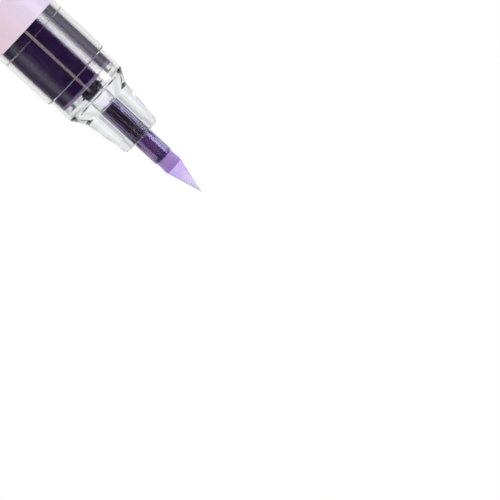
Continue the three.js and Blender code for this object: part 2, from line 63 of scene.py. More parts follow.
MM = 0.001
FULL_TURN = 2 * math.pi
BLACK = (0.0, 0.0, 0.0)
WHITE = (1.0, 1.0, 1.0)


def srgb(red, green, blue):
    """An 8-bit display colour as the linear colour that a shader takes."""
    return tuple(
        (c / 12.92 if c <= 0.04045 else ((c + 0.055) / 1.055) ** 2.4)
        for c in (red / 255, green / 255, blue / 255)
    )


def low(node):
    """The lowest height of a CAD piece."""
    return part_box(node)[0].z


def high(node):
    """The highest height of a CAD piece."""
    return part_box(node)[1].z


def reach(node):
    """The outer radius of a round CAD piece."""
    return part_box(node)[1].x


# Settings


def colour_setting(name, description, *levels):
    default = srgb(*levels)
    return FloatVectorProperty(
        name=name, description=description, subtype="COLOR", min=0, max=1, default=default
    )


def length_setting(name, description, default):
    return FloatProperty(
        name=name, description=description, subtype="DISTANCE", unit="LENGTH", precision=5,
        default=default,
    )


def count_setting(name, description, default, least):
    return IntProperty(name=name, description=description, default=default, min=least)


class MarkerSizes(bpy.types.PropertyGroup):
    round_steps: count_setting("Round steps", "Faces round a smooth piece", 96, 24)
    fine_steps: count_setting("Fine steps", "Faces round a small piece", 64, 16)
    edge_round: length_setting("Edge rounding", "Radius on opaque edges", 0.08 * MM)
    clear_edge: length_setting("Clear edge rounding", "Radius on crisp clear edges", 0.012 * MM)
    paint_overlap: length_setting("Paint overlap", "How far paint wets the tank", 0.03 * MM)
    thread_turns: count_setting("Thread turns", "Turns of the tank thread", 4, 1)
    thread_pitch: length_setting("Thread pitch", "Rise of the thread in one turn", 1.97 * MM)
    thread_height: length_setting("Thread height", "Height of the thread", 0.02 * MM)
    thread_start: length_setting("Thread start", "From the tank's front to the thread", 5.0 * MM)
    plug_radius: length_setting("Flow plug radius", "Where the plug fills the tube", 1.7 * MM)
    brush_swell: length_setting("Brush swell", "How much the wet brush swells", 0.1 * MM)
    bristle_count: count_setting("Bristles", "Bristles round the brush", 72, 12)
    bristle_steps: count_setting("Bristle steps", "Bends along one bristle", 9, 3)
    bristle_radius: length_setting("Bristle radius", "Radius at a bristle's root", 0.075 * MM)


class MarkerColours(bpy.types.PropertyGroup):
    clear: colour_setting("Clear plastic", "Tint of the clear shells", 250, 251, 252)
    clear_nose: colour_setting("Clear nose", "Tint of the thick clear nose", 243, 245, 248)
    film_cool: colour_setting("Film, cool", "Lavender side of the label", 220, 207, 232)
    film_warm: colour_setting("Film, warm", "Pink side of the label", 244, 217, 230)
    paint: colour_setting("Paint", "Dark purple paint in the tank", 78, 30, 118)
    paint_light: colour_setting("Paint, thin", "Paint where it lies thin", 196, 168, 222)
    tube: colour_setting("Nib tube", "Tint of the clear nib tube", 253, 253, 255)
    tube_stain: colour_setting("Nib tube, stained", "Where paint runs through it", 208, 202, 246)
    # Painted shade: the tube's side away from the key lamps takes this colour, and so do its real
    # paint streaks
    tube_streak_and_shade: colour_setting("Nib tube, filmed", "The side that paint clings to", 182, 166, 198)
    core: colour_setting("Fibre core", "Paint-soaked fibre rod", 176, 136, 178)
    core_front: colour_setting("Fibre core, front", "Where it leaves the nose", 190, 152, 206)
    brush_block: colour_setting("Brush, root", "Soaked root of the brush", 156, 122, 190)
    brush_rear: colour_setting("Brush, middle", "Where the brush narrows", 216, 194, 252)
    brush_point: colour_setting("Brush, point", "Brush towards its point", 252, 242, 255)
    # Painted shade: this colour darkens the brush's turned edges, and a darker copy of it tints the
    # real streaks
    brush_streak_and_edge_shade: colour_setting("Brush, edges", "Where it turns from the light", 194, 174, 250)
    white: colour_setting("White plug", "Porous flow plug", 248, 246, 252)
    stem: colour_setting("Valve stem", "Dark stem wetted by paint", 52, 28, 72)
    body: colour_setting("Cap and tail", "Plastic in the paint's colour", 98, 66, 140)
    natural: colour_setting("Natural plastic", "Uncoloured cloudy plastic", 180, 182, 186)
    liner: colour_setting("Cap liner", "Soft white inner cup", 222, 220, 226)
    rubber: colour_setting("Rubber", "Valve washer", 40, 38, 44)
    steel: colour_setting("Steel", "Spring and mixing balls", 190, 192, 196)


class MarkerStage(bpy.types.PropertyGroup):
    camera_distance: length_setting("Camera distance", "From the lens to the axis", 0.370)
    camera_height: length_setting("Camera height", "From the floor to the lens", 0.1038)
    aim_height: length_setting("Aim height", "Height at the middle of the frame", 0.1664)
    aim_side: length_setting("Aim side", "Offset of the middle of the frame", 0.00177)
    camera_roll: FloatProperty(
        name="Camera roll", description="Turn of the frame about the view line",
        subtype="ANGLE", default=math.radians(132.7),
    )
    lens: FloatProperty(
        name="Lens", description="Focal length on a 36 mm sensor",
        subtype="DISTANCE_CAMERA", default=151.9,
    )


def sizes():
    return bpy.context.scene.marker_sizes


def colours():
    return bpy.context.scene.marker_colours


# Outlines and meshes

MERGE = 1e-7  # points nearer to each other than this are one
STRAIGHT = math.radians(0.5)  # a smaller turn of an outline is none
CORNER = math.radians(28)  # a larger turn is a corner, which gets rounded
LONG_SIDE = 1.0 * MM  # a longer side by a slight bend is held flat
SUPPORT = 0.1 * MM  # from a bend to the point that holds its side flat
CORNER_SHARE = 0.35  # the most of its shorter side that a rounding takes
CORNER_HOLD = 1.3  # from a corner to the points that hold its sides, in roundings
CRISP = math.radians(40)  # faces that meet at a larger angle keep a crisp edge


def bend(vert):
    """The turn of an outline at one of its points."""
    first, second = (edge.other_vert(vert).co - vert.co for edge in vert.link_edges)
    return math.pi - first.angle(second)


def turning(bm, least, most=math.pi):
    """The inner points of an outline that turn by more than one angle, up to another."""
    return [v for v in bm.verts if len(v.link_edges) == 2 and least < bend(v) <= most]


def cad_mesh(node):
    """A bmesh of a CAD piece."""
    bm = bmesh.new()
    bm.from_mesh(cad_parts[node].data)
    return bm


def section_of(node, angle=0.0):
    """The outline of a round CAD piece: its edges in the half plane at an angle about Z."""
    bm = cad_mesh(node)
    bmesh.ops.remove_doubles(bm, verts=bm.verts, dist=MERGE)
    turn = Matrix.Rotation(-angle, 3, "Z")
    bmesh.ops.rotate(bm, verts=bm.verts, cent=(0, 0, 0), matrix=turn)
    bmesh.ops.bisect_plane(
        bm, geom=bm.verts[:] + bm.edges[:] + bm.faces[:], dist=MERGE,
        plane_co=(0, 0, 0), plane_no=(0, 1, 0), clear_inner=True, clear_outer=True,
    )
    behind = [v for v in bm.verts if v.co.x < -MERGE]
    bmesh.ops.delete(bm, geom=behind, context="VERTS")
    on_axis = [e for e in bm.edges if all(v.co.x < MERGE for v in e.verts)]
    bmesh.ops.delete(bm, geom=on_axis, context="EDGES")
    for vert in bm.verts:
        vert.co.y = 0.0
    straight = [v for v in bm.verts if len(v.link_edges) == 2 and bend(v) < STRAIGHT]
    bmesh.ops.dissolve_verts(bm, verts=straight)
    return bm


def hold_flats(bm):
    """Adds a point on each long side next to a slight bend, so that the long side shades flat."""
    for vert in turning(bm, STRAIGHT, CORNER):
        for edge in [e for e in vert.link_edges if e.calc_length() > LONG_SIDE]:
            bmesh.utils.edge_split(edge, vert, SUPPORT / edge.calc_length())


def round_corners(bm, width):
    """Rounds the corners of an outline, each between two points that keep its sides flat."""
    hold_flats(bm)
    for corner in turning(bm, CORNER):
        shorter = min(edge.calc_length() for edge in corner.link_edges)
        offset = min(width, CORNER_SHARE * shorter)
        for edge in list(corner.link_edges):
            bmesh.utils.edge_split(edge, corner, CORNER_HOLD * offset / edge.calc_length())
        bmesh.ops.bevel(
            bm, geom=[corner], offset=offset, offset_type="OFFSET", segments=3, profile=0.5,
            affect="VERTICES", material=-1,
        )


def add_rings(bm, radius, heights):
    """Adds points at given heights to the longest upright wall of an outline at a radius."""
    walls = [e for e in bm.edges if all(abs(v.co.x - radius) < MERGE for v in e.verts)]
    wall = max(walls, key=lambda e: e.calc_length())
    start, end = sorted(wall.verts, key=lambda v: v.co.z)
    for height in sorted(heights):
        share = (height - start.co.z) / (end.co.z - start.co.z)
        start = bmesh.utils.edge_split(wall, start, share)[1]
        wall = next(e for e in start.link_edges if end in e.verts)


def spin_full(bm, steps):
    """Turns an outline once round Z into a closed surface."""
    bmesh.ops.spin(
        bm, geom=bm.verts[:] + bm.edges[:], cent=(0, 0, 0), axis=(0, 0, 1), angle=FULL_TURN,
        steps=steps, use_merge=True, use_duplicate=False,
    )
    bmesh.ops.remove_doubles(bm, verts=bm.verts, dist=MERGE)
    bmesh.ops.recalc_face_normals(bm, faces=bm.faces)


def new_object(bm, name, material):
    mesh = bpy.data.meshes.new(name)
    bm.to_mesh(mesh)
    bm.free()
    mesh.materials.append(material)
    made = bpy.data.objects.new(name, mesh)
    bpy.context.scene.collection.objects.link(made)
    return made


def add_piece(bm, name, body, look, replaced=()):
    """Makes a finished piece from a bmesh, smooth but for sharp edges, on a body if named."""
    piece = new_object(bm, name, finish(look))
    piece.data.polygons.foreach_set("use_smooth", [True] * len(piece.data.polygons))
    piece.data.set_sharp_from_angle(angle=CRISP)
    if body:
        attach(piece, body)
    if replaced:
        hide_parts(*replaced)
    return piece


def turned_piece(name, node, body, look, steps, width=None, angle=0.0):
    """Adds a smooth copy of a round CAD piece, turned from its outline, with rounded corners."""
    bm = section_of(node, angle)
    round_corners(bm, width or sizes().edge_round)
    spin_full(bm, steps)
    add_piece(bm, name, body, look, [node])


# Shader building


class Graph:
    """Short calls for the nodes and links of one shader tree."""

    def __init__(self, tree):
        self.tree = tree
        self.shader = None

    def node(self, kind, inputs=None, **settings):
        """A new node with its settings made and its inputs fed."""
        made = self.tree.nodes.new(kind)
        for key, value in settings.items():
            setattr(made, key, value)
        for key, value in (inputs or {}).items():
            self.feed(made.inputs[key], value)
        return made

    def feed(self, socket, value):
        """Links a socket to an output, or sets it to a plain value."""
        if isinstance(value, bpy.types.NodeSocket):
            self.tree.links.new(value, socket)
        elif socket.type == "RGBA":
            socket.default_value = (*value[:3], 1.0)
        else:
            socket.default_value = value

    def group(self, name, place, **values):
        """The outputs of a shared effect at a place."""
        inputs = {key.replace("_", " "): value for key, value in values.items()}
        tree = bpy.data.node_groups[name]
        return self.node("ShaderNodeGroup", {"Position": place, **inputs}, node_tree=tree).outputs

    def axes(self, vector):
        return tuple(self.node("ShaderNodeSeparateXYZ", {0: vector}).outputs)

    def stretch(self, vector, scale):
        return self.node("ShaderNodeMapping", {"Vector": vector, "Scale": scale}).outputs[0]

    def math(self, operation, first, second=0.0, clamp=False):
        inputs = {0: first, 1: second}
        made = self.node("ShaderNodeMath", inputs, operation=operation, use_clamp=clamp)
        return made.outputs[0]

    def plus(self, first, second, clamp=False):
        return self.math("ADD", first, second, clamp)

    def minus(self, first, second):
        return self.math("SUBTRACT", first, second)

    def times(self, first, second, clamp=False):
        return self.math("MULTIPLY", first, second, clamp)

    def most(self, first, *others):
        """The largest of several values."""
        for other in others:
            first = self.math("MAXIMUM", first, other)
        return first

    def fade(self, value, start, end, before=0.0, after=1.0):
        """A smooth step, from one result before the start to another after the end."""
        inputs = {0: value, 1: start, 2: end, 3: before, 4: after}
        made = self.node("ShaderNodeMapRange", inputs, interpolation_type="SMOOTHSTEP")
        return made.outputs[0]

    def span(self, mask, without, under):
        """One result where a mask is empty and another where it is full."""
        return self.fade(mask, 0.0, 1.0, without, under)

    def noise(self, vector, scale, detail=4.0, roughness=0.55):
        inputs = {"Vector": vector, "Scale": scale, "Detail": detail, "Roughness": roughness}
        return self.node("ShaderNodeTexNoise", inputs).outputs["Fac"]

    def wander(self, vector, width, scale, detail):
        """Noise to both sides of zero, for an edge that wanders."""
        return self.times(self.minus(self.noise(vector, scale, detail), 0.5), width)

    def mottle(self, place, first, second, **values):
        return self.group("mottle", place, Colour=first, Second_colour=second, **values)

    def mix(self, factor, first, second):
        inputs = {"Factor": factor, 6: first, 7: second}
        return self.node("ShaderNodeMix", inputs, data_type="RGBA").outputs[2]

    def cover(self, base, roughness, relief=None, strength=0.0, depth=0.0):
        """Feeds the shader its colour, its roughness and the bumps of a relief."""
        self.feed(self.shader["Base Color"], base)
        self.feed(self.shader["Roughness"], roughness)
        if relief is not None:
            inputs = {"Height": relief, "Strength": strength, "Distance": depth}
            self.feed(self.shader["Normal"], self.node("ShaderNodeBump", inputs).outputs[0])


FLOAT, VECTOR, COLOUR = "NodeSocketFloat", "NodeSocketVector", "NodeSocketColor"


def new_group(name, inputs, outputs):
    """An empty node group with named sockets: its graph and both its ends."""
    tree = bpy.data.node_groups.new(name, "ShaderNodeTree")
    for label, kind, value in inputs:
        socket = tree.interface.new_socket(label, in_out="INPUT", socket_type=kind)
        if value is not None:
            socket.default_value = value
    for label, kind in outputs:
        tree.interface.new_socket(label, in_out="OUTPUT", socket_type=kind)
    start = tree.nodes.new("NodeGroupInput")
    end = tree.nodes.new("NodeGroupOutput")
    return Graph(tree), start.outputs, end.inputs


def new_material(name, **plain):
    """A new material with plain values on its shader: its graph and its Object position."""
    material = bpy.data.materials.new(name)
    material.use_nodes = True
    graph = Graph(material.node_tree)
    graph.shader = graph.tree.nodes["Principled BSDF"].inputs
    for key, value in plain.items():
        graph.feed(graph.shader[key.replace("_", " ")], value)
    return graph, graph.node("ShaderNodeTexCoord").outputs["Object"]


def darker(colour, share):
    return tuple(c * share for c in colour[:3])


# Shared effects: a pair is the noise where each starts and where it is full

SCRATCHES = (0.56, 0.72)
SMEARS = (0.42, 0.66)
SCRATCH_SHARE = 0.6
SMEAR_SHARE = 0.25
GRAIN_SHARE = 0.12
CLOUDS = (0.32, 0.68)


def build_handling_wear():
    """Fine rubbed scratches and smears from handling: a mask and a height."""
    graph, given, out = new_group(
        "handling_wear",
        [("Position", VECTOR, None), ("Scale", FLOAT, 900.0)],
        [("Mask", FLOAT), ("Height", FLOAT)],
    )
    smears = graph.fade(graph.noise(given["Position"], scale=160.0, detail=3.0), *SMEARS)
    along = graph.stretch(given["Position"], (1.0, 1.0, 0.06))
    scratch = graph.noise(along, given["Scale"], detail=6.0, roughness=0.7)
    mask = graph.times(graph.fade(scratch, *SCRATCHES), smears)
    parts = graph.times(mask, SCRATCH_SHARE), graph.times(smears, SMEAR_SHARE)
    graph.feed(out["Mask"], graph.plus(*parts))
    graph.feed(out["Height"], mask)


def build_mould_grain():
    """The faint waviness and grain of moulded plastic: a height."""
    graph, given, out = new_group(
        "mould_grain",
        [("Position", VECTOR, None), ("Wave scale", FLOAT, 220.0), ("Grain scale", FLOAT, 6000.0)],
        [("Height", FLOAT)],
    )
    wave = graph.noise(given["Position"], given["Wave scale"], detail=1.0)
    grain = graph.noise(given["Position"], given["Grain scale"], detail=2.0)
    graph.feed(out["Height"], graph.plus(wave, graph.times(grain, GRAIN_SHARE)))


def build_mottle():
    """Two colours mixed by soft cloudy noise: the colour and a mask of the clouds."""
    graph, given, out = new_group(
        "mottle",
        [
            ("Position", VECTOR, None), ("Scale", FLOAT, 400.0), ("Amount", FLOAT, 0.5),
            ("Colour", COLOUR, None), ("Second colour", COLOUR, None),
        ],
        [("Colour", COLOUR), ("Mask", FLOAT)],
    )
    cloud = graph.fade(graph.noise(given["Position"], given["Scale"], detail=5.0), *CLOUDS)
    factor = graph.times(cloud, given["Amount"], clamp=True)
    graph.feed(out["Colour"], graph.mix(factor, given["Colour"], given["Second colour"]))
    graph.feed(out["Mask"], cloud)


# Materials: a pair is where a fade starts and ends

PLASTIC_IOR = 1.49
NOSE_BLEND = 1.0 * MM  # half the length over which the nose takes its own tint
VEIL = (0.02, 0.045)  # how opaque it is, between its clouds and in them
RUBBED = 0.18  # how much rougher a moulding is where it is rubbed
SCRATCH_DEPTH = -0.3
FILM_WANDER = 0.16  # how far the label's gradient wanders, in widths
PAINT_RIM = (-0.85 * MM, -0.45 * MM)  # from the front plug: where the paint thins
RIM_THINNING = 0.9

RIB_PAINTED_GLINT = 0.3  # strength of the painted glint lines on the ribs of the tube, an emission that no lamp gives
RIB_LINES = (-1.35 * MM, -0.68 * MM, 1.05 * MM, 1.45 * MM)  # where they lie across it
GLINT_WIDTH = (0.01 * MM, 0.06 * MM)  # from the middle of a line to its edges
GLINT_REAR = (-0.2 * MM, 0.6 * MM)  # from the flow plug: where the lines start
GLINT_FRONT = 0.3 * MM  # over which they fade at the guide ring
OUTER_SKIN = 0.1 * MM  # of the tube, which carries the lines
STAIN_START = (-0.3 * MM, 0.4 * MM)  # from the flow plug: where the stain starts
STAIN_WANDER = 0.8 * MM
STAIN_END = 0.3 * MM  # over which the painted shade inside the nose gives way, at its front
NOSE_PAINTED_SHADE = 0.8  # painted shade: the share of the stain's brightness left inside the nose
STREAKS = (0.35, 0.7, 0.0, 0.35)  # a fade's start and end, and its two results
PAINTED_SHADE_SIDE = (-1.6 * MM, -0.5 * MM)  # across the tube: where the painted shade starts, on the side away from the key lamps

FIBRE_STRANDS = (0.38, 0.68)
FIBRE_EDGE_SHADE_TURN = (0.25, 0.8)  # how far a side turns from view as the painted edge shade takes over
WET_LINE = 0.5 * MM  # how far a wet line wanders
CORE_FRONT_BLEND = 0.4 * MM  # over which the core changes at the front of the nose
BLOCK_SHARE = 0.27  # of the bare brush, which is the soaked root
BLOCK_EDGE = (-0.1 * MM, 0.12 * MM)
BELLY_START = 0.8 * MM  # from the soaked root
POINT_LENGTH = 1.5 * MM

PLUG_PAINTED_GLOW = 0.7  # strength of a painted glow, standing in for the light that the clear plastic round the plug carries
PLUG_SOAKED = 0.1 * MM  # how far the plug is dark inside the tube
SOAKED_EDGE = 0.05 * MM

FLOOR_COLOUR = srgb(244, 244, 245)


def clear_material(name, ior, rough, waves, thick_nose=False):
    """Clear moulded plastic with faint smears and waves, and a tint of its own in a thick nose."""
    tones = colours()
    graph, place = new_material(name, IOR=ior, Transmission_Weight=1.0)
    smear = graph.group("handling_wear", place)["Mask"]
    grain = graph.group("mould_grain", place, Wave_scale=90.0)["Height"]
    base = graph.mix(smear, tones.clear, darker(tones.clear, 0.995))
    if thick_nose:
        nose = high("flow_plug")
        thick = graph.fade(graph.axes(place)[2], nose - NOSE_BLEND, nose + NOSE_BLEND)
        base = graph.mix(thick, base, tones.clear_nose)
    graph.cover(base, graph.span(smear, *rough), grain, strength=waves, depth=0.02 * MM)


def veil_material(name):
    """Natural plastic wetted by the paint's binder, so that it shows as a thin cloudy veil."""
    tint = colours().natural
    graph, place = new_material(name, IOR=1.2)
    cloud = graph.mottle(place, tint, darker(tint, 0.8), Scale=500.0, Amount=0.6)
    smear = graph.group("handling_wear", place)["Mask"]
    graph.cover(cloud["Colour"], graph.span(smear, 0.25, 0.4))
    graph.feed(graph.shader["Alpha"], graph.span(cloud["Mask"], *VEIL))


def moulded_material(name, colour, gloss, coat=0.0):
    """Opaque moulded plastic with cloudy pigment, grain and rubbed gloss."""
    tint = getattr(colours(), colour)
    graph, place = new_material(name, Coat_Weight=coat)
    wear = graph.group("handling_wear", place)
    grain = graph.group("mould_grain", place)
    tone = graph.mottle(place, tint, darker(tint, 0.88), Scale=300.0, Amount=0.6)
    rough = graph.span(wear["Mask"], gloss, gloss + RUBBED)
    relief = graph.plus(grain["Height"], graph.times(wear["Height"], SCRATCH_DEPTH))
    graph.cover(tone["Colour"], rough, relief, strength=0.25, depth=0.03 * MM)


def film_material(name):
    """Printed film: a soft gradient across the barrel under a satin lacquer."""
    tones = colours()
    graph, place = new_material(name, Coat_Weight=0.1, Coat_Roughness=0.2)
    radius = reach("label_sleeve")
    across = graph.fade(graph.axes(place)[0], -radius, radius)
    drift = graph.wander(place, FILM_WANDER, scale=60.0, detail=2.0)
    base = graph.mix(graph.plus(across, drift, clamp=True), tones.film_cool, tones.film_warm)
    speck = graph.fade(graph.noise(place, scale=9000.0, detail=2.0), 0.45, 0.75, 0.0, 0.06)
    base = graph.mix(speck, base, darker(tones.film_cool, 0.6))
    smear = graph.group("handling_wear", place, Scale=1400.0)["Mask"]
    grain = graph.group("mould_grain", place, Wave_scale=400.0)["Height"]
    rough = graph.span(smear, 0.32, 0.5)
    graph.cover(base, rough, grain, strength=0.2, depth=0.015 * MM)


def paint_material(name):
    """Dense wet paint against the tank wall, with slow swirls, thinner along its front rim."""
    tones = colours()
    graph, place = new_material(name, IOR=2.2)
    swirl = graph.stretch(place, (1.0, 1.0, 0.25))
    tone = graph.mottle(swirl, tones.paint, tones.paint_light, Scale=260.0, Amount=0.04)
    start, end = (low("tank_front_plug") + offset for offset in PAINT_RIM)
    rim = graph.fade(graph.axes(place)[2], start, end, 0.0, RIM_THINNING)
    base = graph.mix(rim, tone["Colour"], tones.paint_light)
    graph.cover(base, graph.span(tone["Mask"], 0.08, 0.14))


def tube_material(name):
    """Clear tube, clean round the flow plug, then stained by the paint that runs through it, with
    painted shade on its side away from the key lamps and inside the nose, and painted glint lines
    on its ribs.
    """
    tones = colours()
    graph, place = new_material(
        name, IOR=PLASTIC_IOR, Transmission_Weight=1.0, Emission_Strength=RIB_PAINTED_GLINT
    )
    side, depth, height = graph.axes(place)
    plug, nose, ring = high("flow_plug"), high("front_section"), low("nib_guide_ring")
    ragged = graph.plus(height, graph.wander(place, STAIN_WANDER, scale=900.0, detail=3.0))
    run = graph.fade(ragged, *(plug + offset for offset in STAIN_START))
    streak = graph.fade(graph.noise(graph.stretch(place, (1.0, 1.0, 0.12)), 1500.0), *STREAKS)
    # Painted shade on the side away from the key lamps, joined with the real paint streaks
    streak_and_shade = graph.plus(graph.fade(side, *PAINTED_SHADE_SIDE), streak, clamp=True)
    stain = graph.mix(streak_and_shade, tones.tube_stain, tones.tube_streak_and_shade)
    # Painted shade: the stain is darker where the tube lies inside the nose
    leaving = graph.fade(height, nose - STAIN_END, nose)
    stain = graph.mix(leaving, graph.mix(NOSE_PAINTED_SHADE, BLACK, stain), stain)
    base = graph.mix(run, tones.tube, stain)
    rough = graph.fade(streak, 0.0, STREAKS[-1], 0.18, 0.25)
    grain = graph.group("mould_grain", place, Wave_scale=500.0)["Height"]
    graph.cover(base, rough, grain, strength=0.05, depth=0.01 * MM)
    # Painted highlight: thin glowing lines along the ribs, on the tube's outer skin only, stand in
    # for the light that the ribs catch
    away = [graph.math("ABSOLUTE", graph.minus(side, offset)) for offset in RIB_LINES]
    glint = graph.most(*(graph.fade(distance, *GLINT_WIDTH, 1.0, 0.0) for distance in away))
    ribbed = graph.times(
        graph.fade(height, *(plug + offset for offset in GLINT_REAR)),
        graph.fade(height, ring - GLINT_FRONT, ring, 1.0, 0.0),
    )
    radius = graph.math("SQRT", graph.plus(graph.times(side, side), graph.times(depth, depth)))
    outer = graph.math("GREATER_THAN", radius, reach("nib_holder") - OUTER_SKIN)
    lines = graph.times(graph.times(glint, outer), ribbed)
    graph.feed(graph.shader["Emission Color"], graph.mix(lines, BLACK, tones.tube_stain))


def fibre_material(name, root, changes, streak_and_edge_shade, scale, streaks, edge):
    """Bonded fibres along the axis: a root colour, then changes at ragged wet lines, with real
    streaks and painted shade where sides turn from view.
    """
    graph, place = new_material(name, Sheen_Weight=0.1, Sheen_Roughness=0.4)
    drift = graph.wander(place, WET_LINE, scale=2500.0, detail=3.0)
    height = graph.plus(graph.axes(place)[2], drift)
    base = root
    for start, end, colour in changes:
        base = graph.mix(graph.fade(height, start, end), base, colour)
    strands = graph.noise(graph.stretch(place, (1.0, 1.0, 0.03)), scale, detail=5.0, roughness=0.65)
    streak = graph.fade(strands, *FIBRE_STRANDS, 0.0, streaks)
    base = graph.mix(streak, base, darker(streak_and_edge_shade, 0.8))
    # Painted shade: sides that turn from view take the shade colour
    turned = graph.node("ShaderNodeLayerWeight", {"Blend": 0.5}).outputs["Facing"]
    base = graph.mix(graph.fade(turned, *FIBRE_EDGE_SHADE_TURN, 0.0, edge), base, streak_and_edge_shade)
    rough = graph.fade(strands, 0.3, 0.7, 0.45, 0.7)
    graph.cover(base, rough, strands, strength=0.4, depth=0.02 * MM)


def core_material(name):
    """The soaked fibre rod."""
    tones = colours()
    nose = high("front_section")
    changes = [(nose - CORE_FRONT_BLEND, nose, tones.core_front)]
    fibre_material(name, tones.core, changes, tones.core, scale=5200.0, streaks=0.3, edge=0.1)


def brush_material(name):
    """Soft bristles: soaked at the root, lilac along the belly and paler at the point."""
    tones = colours()
    root, point = high("nib_holder"), high("brush_tip")
    belly = root + BLOCK_SHARE * (point - root)
    changes = [
        (belly + BLOCK_EDGE[0], belly + BLOCK_EDGE[1], tones.brush_rear),
        (belly + BELLY_START, point - POINT_LENGTH, tones.brush_point),
    ]
    streak_and_edge_shade = tones.brush_streak_and_edge_shade
    fibre_material(name, tones.brush_block, changes, streak_and_edge_shade, scale=6500.0, streaks=0.1, edge=0.75)


def porous_material(name):
    """White sintered plastic with fine pores, with a painted glow for the light that the clear
    plastic round it carries.
    """
    tones = colours()
    graph, place = new_material(name, Emission_Strength=PLUG_PAINTED_GLOW)
    voronoi = graph.node("ShaderNodeTexVoronoi", {"Vector": place, "Scale": 5200.0})
    cells = voronoi.outputs["Distance"]
    stain = graph.fade(graph.noise(place, scale=700.0, detail=3.0), 0.5, 0.72, 0.0, 0.15)
    clean = graph.mix(graph.fade(cells, 0.0, 0.35, 0.08, 0.0), tones.white, tones.tube_stain)
    clean = graph.mix(stain, clean, tones.tube_stain)
    soaked = low("nib_holder") + PLUG_SOAKED
    dry = graph.fade(graph.axes(place)[2], soaked - SOAKED_EDGE, soaked + SOAKED_EDGE)
    base = graph.mix(dry, tones.stem, clean)
    rough = graph.fade(cells, 0.0, 0.5, 0.75, 0.5)
    graph.cover(base, rough, cells, strength=0.3, depth=0.02 * MM)
    # Painted glow on the dry part of the plug: an emission that no lamp gives
    graph.feed(graph.shader["Emission Color"], graph.mix(dry, BLACK, clean))


def steel_material(name):
    """Polished steel with fine draw marks."""
    tint = colours().steel
    graph, place = new_material(name, Metallic=1.0)
    marks = graph.noise(graph.stretch(place, (1.0, 1.0, 8.0)), scale=2500.0)
    base = graph.mix(marks, tint, darker(tint, 0.8))
    rough = graph.fade(marks, 0.3, 0.7, 0.12, 0.3)
    graph.cover(base, rough, marks, strength=0.15, depth=0.01 * MM)


def floor_material(name):
    """A faintly clouded pale floor, which shows its bare colour through clear plastic."""
    graph, place = new_material(name, Roughness=0.8)
    clouds = graph.fade(graph.noise(place, scale=8.0), 0.3, 0.7, 0.0, 0.03)
    tint = graph.mix(clouds, FLOOR_COLOUR, darker(FLOOR_COLOUR, 0.9))
    graph.feed(graph.shader["Base Color"], tint)
    nodes = graph.tree.nodes
    bare = graph.node("ShaderNodeEmission", {"Color": FLOOR_COLOUR}).outputs[0]
    through = graph.node("ShaderNodeLightPath").outputs["Is Transmission Ray"]
    inputs = {0: through, 1: nodes["Principled BSDF"].outputs[0], 2: bare}
    seen = graph.node("ShaderNodeMixShader", inputs).outputs[0]
    graph.feed(nodes["Material Output"].inputs["Surface"], seen)


FINISHES = {
    # clear plastic: refraction, roughness clean and smeared, waves, tinted nose
    "clear_shell": (clear_material, PLASTIC_IOR, (0.0, 0.015), 0.006),
    "clear_nose": (clear_material, PLASTIC_IOR, (0.0, 0.015), 0.006, True),
    "clear_wall": (clear_material, PLASTIC_IOR, (0.005, 0.02), 0.01),
    "satin_clear": (clear_material, 1.4, (0.03, 0.08), 0.02),
    # moulded plastic: colour, roughness, weight of its gloss coat
    "dark_stem_plastic": (moulded_material, "stem", 0.25, 0.4),
    "cap_plastic": (moulded_material, "body", 0.28, 0.2),
    "liner_moulding": (moulded_material, "liner", 0.4),
    "black_rubber": (moulded_material, "rubber", 0.55),
    # others
    "wetted_clear": (veil_material,),
    "label_film": (film_material,),
    "wet_paint": (paint_material,),
    "stained_tube": (tube_material,),
    "core_fibre": (core_material,),
    "soft_bristle": (brush_material,),
    "sintered_white": (porous_material,),
    "polished_steel": (steel_material,),
    "pale_floor": (floor_material,),
}


def finish(name):
    """The material of that name, built the first time it is asked for."""
    if name not in bpy.data.materials:
        recipe, *values = FINISHES[name]
        recipe(name, *values)
    return bpy.data.materials[name]


# Pieces

JOINT_DEPTH = 0.2 * MM  # how near to a joint's height its faces lie
FLAT = 0.6  # the least upright part of a flat face's normal
THREAD_ROWS = 12  # in one turn of the thread
THREAD_WIDTH = 0.25  # half the width of the thread, in pitches
POCKET_ROOM = 0.76  # radius of the paint's pocket, in radii of the stem's head
POCKET_DEPTH = 2.0 * MM
STEM_SIDE = math.pi / 4  # clear of the stem's cross port
RIB_COUNT = 6
RIB_WIDTH = 0.11  # half the width of a rib, in spacings
RIB_SLOPE = 0.02 * MM
RIB_BAND = 0.05 * MM  # how near to the innermost radius the ribs lie
TUBE_STEPS = 120
BRUSH_EDGE = 0.02 * MM
BRUSH_SINK = 0.4  # of the soft body under the bristles, in bristle radii
BRISTLE_SIDES = 5
BRISTLE_STRAY = 0.3  # unevenness round the brush, in spacings
BRISTLE_LEAN = 0.12
BRISTLE_SPREAD = 2.2 * MM  # how far from the point the shortest bristle ends
BRISTLE_FINE = 0.25  # thickness left where the brush closes, as a share
BRISTLE_TAPER = 0.75  # share of its thickness that a bristle loses
BRISTLE_SET = 0.8  # how deep it lies in the belly, in its own thickness


class MARKER_OT_effects(bpy.types.Operator):
    """Builds the node groups that the marker's materials share"""

    bl_idname = "marker.effects"
    bl_label = "Build shared effects"

    def execute(self, context):
        build_handling_wear()
        build_mould_grain()
        build_mottle()
        return {"FINISHED"}


